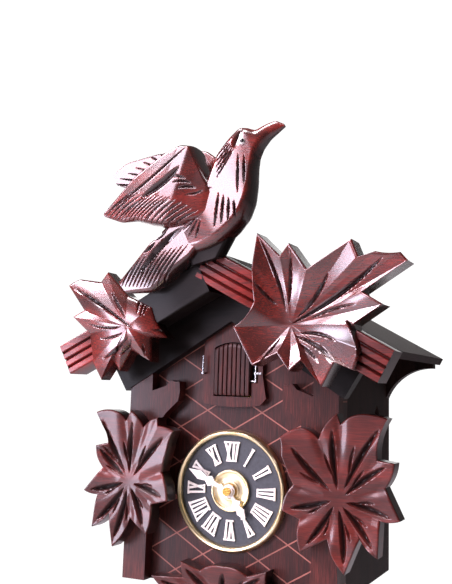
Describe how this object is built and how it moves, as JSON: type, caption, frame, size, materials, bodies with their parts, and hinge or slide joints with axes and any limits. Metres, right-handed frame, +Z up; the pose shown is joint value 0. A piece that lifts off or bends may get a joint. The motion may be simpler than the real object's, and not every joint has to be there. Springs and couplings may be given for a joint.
{
  "type": "cuckoo clock",
  "caption": "Carved wooden cuckoo clock with leaves and a perched bird, a small dial, a door with a hinged cuckoo, and a leaf pendulum.",
  "frame": {"origin": "centre of the hanging hole on the wall plane, which is the back of the hanger plate", "axes": "+Z up, +Y into the wall, so the dial faces -Y and +X is to the viewer's right"},
  "size_m": [0.2169, 0.1555, 0.404],
  "materials": {
    "carved_wood": "glossy reddish-brown stain over carved limewood",
    "case_wood": "satin dark brown stain, fine vertical grain",
    "raw_wood": "unstained softwood",
    "panel_wood": "thin brown fibreboard",
    "dial_black": "matt black",
    "white_plastic": "white moulded plastic",
    "brass": "polished",
    "gilt": "pale gold lacquer",
    "steel": "bright drawn wire and plate",
    "cloth": "thin bellows cloth",
    "glass_bead": "black glass bead",
    "painted_bird": "painted moulding"
  },
  "bodies": {
    "case": {"left_side_wall": "case_wood", "right_side_wall": "case_wood", "front_board": "case_wood", "door_surround": "carved_wood", "gable_rails": "carved_wood", "left_frame_stile": "carved_wood", "right_frame_stile": "carved_wood", "left_roof_board": "case_wood", "right_roof_board": "case_wood", "rear_frame": "case_wood", "back_panel": "panel_wood", "hanger_plate": "steel", "bottom_board": "case_wood", "left_roof_carving": "carved_wood", "right_roof_carving": "carved_wood", "right_side_leaf": "carved_wood", "left_side_leaf": "carved_wood", "bottom_leaf": "carved_wood", "perched_bird_body": "carved_wood", "perched_bird_near_wing": "carved_wood", "perched_bird_far_wing": "carved_wood", "perched_bird_eyes": "glass_bead", "bezel_ring": "gilt", "dial_plate": "dial_black", "dial_centre": "brass", "dial_numerals": "white_plastic", "wire_staples": "steel", "movement_front_plate": "brass", "movement_back_plate": "brass", "left_whistle": "raw_wood", "right_whistle": "raw_wood", "bellows_cloths": "cloth", "gong": "steel", "cuckoo_brackets": "raw_wood"},
    "minute_train": {"centre_arbor": "brass", "minute_hand": "white_plastic", "hand_nut": "brass"},
    "hour_train": {"hour_wheel": "brass", "hour_hand": "white_plastic"},
    "minute_wheel": {"minute_wheel": "brass"},
    "time_great_wheel": {"time_great_wheel": "brass"},
    "third_wheel": {"third_wheel": "brass"},
    "escape_wheel": {"escape_wheel": "brass"},
    "pallet_anchor": {"pallet_anchor": "steel"},
    "pendulum": {"pendulum_rod": "steel"},
    "pendulum_bob": {"pendulum_bob": "carved_wood"},
    "strike_great_wheel": {"strike_great_wheel": "brass"},
    "strike_pin_wheel": {"strike_pin_wheel": "brass"},
    "strike_fly": {"strike_fly": "brass"},
    "gong_hammer": {"gong_hammer": "steel"},
    "left_bellows_lid": {"left_bellows_lid": "raw_wood"},
    "right_bellows_lid": {"right_bellows_lid": "raw_wood"},
    "cuckoo_carriage": {"cuckoo_carriage": "steel"},
    "cuckoo_bird": {"cuckoo_bird": "painted_bird"},
    "door": {"door": "carved_wood", "door_hinge_wire": "steel"},
    "door_latch": {"door_latch_wire": "steel"},
    "turn_button_top": {"turn_button_top": "brass"},
    "turn_button_foot": {"turn_button_foot": "brass"}
  },
  "joints": [
    {"name": "minute_hand_turn", "type": "hinge", "parent": "case", "child": "minute_train", "pos_m": [0, -0.1045, -0.1], "axis": [0, 1, 0], "continuous": true},
    {"name": "hour_hand_turn", "type": "hinge", "parent": "case", "child": "hour_train", "pos_m": [0, -0.1045, -0.1], "axis": [0, 1, 0], "continuous": true},
    {"name": "minute_wheel_turn", "type": "hinge", "parent": "case", "child": "minute_wheel", "pos_m": [0.0099, -0.0915, -0.1099], "axis": [0, 1, 0], "continuous": true},
    {"name": "time_great_wheel_turn", "type": "hinge", "parent": "case", "child": "time_great_wheel", "pos_m": [0.017, -0.0745, -0.1186], "axis": [0, 1, 0], "continuous": true},
    {"name": "third_wheel_turn", "type": "hinge", "parent": "case", "child": "third_wheel", "pos_m": [0.012, -0.0745, -0.0866], "axis": [0, 1, 0], "continuous": true},
    {"name": "escape_wheel_turn", "type": "hinge", "parent": "case", "child": "escape_wheel", "pos_m": [0.005, -0.0745, -0.07045], "axis": [0, 1, 0], "continuous": true},
    {"name": "pendulum_swing", "type": "hinge", "parent": "case", "child": "pendulum", "pos_m": [0, -0.0504, -0.0485], "axis": [0, 1, 0], "range_deg": [-3.5, 3.5]},
    {"name": "pallet_rock", "type": "hinge", "parent": "case", "child": "pallet_anchor", "pos_m": [0, -0.0745, -0.0535], "axis": [0, 1, 0], "range_deg": [-4.4, 4.4]},
    {"name": "bob_slide", "type": "slide", "parent": "pendulum", "child": "pendulum_bob", "axis": [0, 0, 1], "range_m": [-0.012, 0.015]},
    {"name": "strike_great_wheel_turn", "type": "hinge", "parent": "case", "child": "strike_great_wheel", "pos_m": [-0.017, -0.0745, -0.1186], "axis": [0, 1, 0], "continuous": true},
    {"name": "strike_pin_wheel_turn", "type": "hinge", "parent": "case", "child": "strike_pin_wheel", "pos_m": [-0.02, -0.0745, -0.09675], "axis": [0, 1, 0], "continuous": true},
    {"name": "strike_fly_turn", "type": "hinge", "parent": "case", "child": "strike_fly", "pos_m": [-0.013, -0.0745, -0.08124], "axis": [0, 1, 0], "continuous": true},
    {"name": "hammer_swing", "type": "hinge", "parent": "case", "child": "gong_hammer", "pos_m": [0.0356, -0.0529, -0.112], "axis": [0, 1, 0], "range_deg": [-3.6, 6]},
    {"name": "left_bellows_lift", "type": "hinge", "parent": "case", "child": "left_bellows_lid", "pos_m": [-0.05, -0.00935, -0.056], "axis": [-1, 0, 0], "range_deg": [0, 15]},
    {"name": "right_bellows_lift", "type": "hinge", "parent": "case", "child": "right_bellows_lid", "pos_m": [0.05, -0.00935, -0.056], "axis": [-1, 0, 0], "range_deg": [0, 15]},
    {"name": "cuckoo_swing", "type": "hinge", "parent": "case", "child": "cuckoo_carriage", "pos_m": [-0.034, -0.092, -0.04], "axis": [0, 0, -1], "range_deg": [0, 35]},
    {"name": "cuckoo_nod", "type": "hinge", "parent": "cuckoo_carriage", "child": "cuckoo_bird", "pos_m": [-0.00456, -0.075, -0.0377], "axis": [0.8192, 0.5736, 0], "range_deg": [0, 8]},
    {"name": "door_swing", "type": "hinge", "parent": "case", "child": "door", "pos_m": [0.0145, -0.10765, -0.03], "axis": [0, 0, 1], "range_deg": [0, 88]},
    {"name": "latch_turn", "type": "hinge", "parent": "case", "child": "door_latch", "pos_m": [-0.0183, -0.1085, -0.0325], "axis": [0, 1, 0], "range_deg": [-30, 85]},
    {"name": "top_button_turn", "type": "hinge", "parent": "case", "child": "turn_button_top", "pos_m": [0, -0.0045, -0.0235], "axis": [0, 1, 0], "range_deg": [-90, 90]},
    {"name": "foot_button_turn", "type": "hinge", "parent": "case", "child": "turn_button_foot", "pos_m": [0, -0.0045, -0.1425], "axis": [0, 1, 0], "range_deg": [-90, 90]}
  ],
  "couplings": [
    {"joint": "hour_hand_turn", "follows": "minute_hand_turn", "ratio": 0.083333},
    {"joint": "minute_wheel_turn", "follows": "minute_hand_turn", "ratio": -0.33333},
    {"joint": "time_great_wheel_turn", "follows": "minute_hand_turn", "ratio": -0.33333},
    {"joint": "third_wheel_turn", "follows": "minute_hand_turn", "ratio": -8},
    {"joint": "escape_wheel_turn", "follows": "minute_hand_turn", "ratio": 80},
    {"joint": "pallet_rock", "follows": "pendulum_swing", "ratio": 1.2273},
    {"joint": "strike_pin_wheel_turn", "follows": "strike_great_wheel_turn", "ratio": -6},
    {"joint": "strike_fly_turn", "follows": "strike_great_wheel_turn", "ratio": 45},
    {"joint": "door_swing", "follows": "cuckoo_swing", "ratio": 2.5}
  ]
}
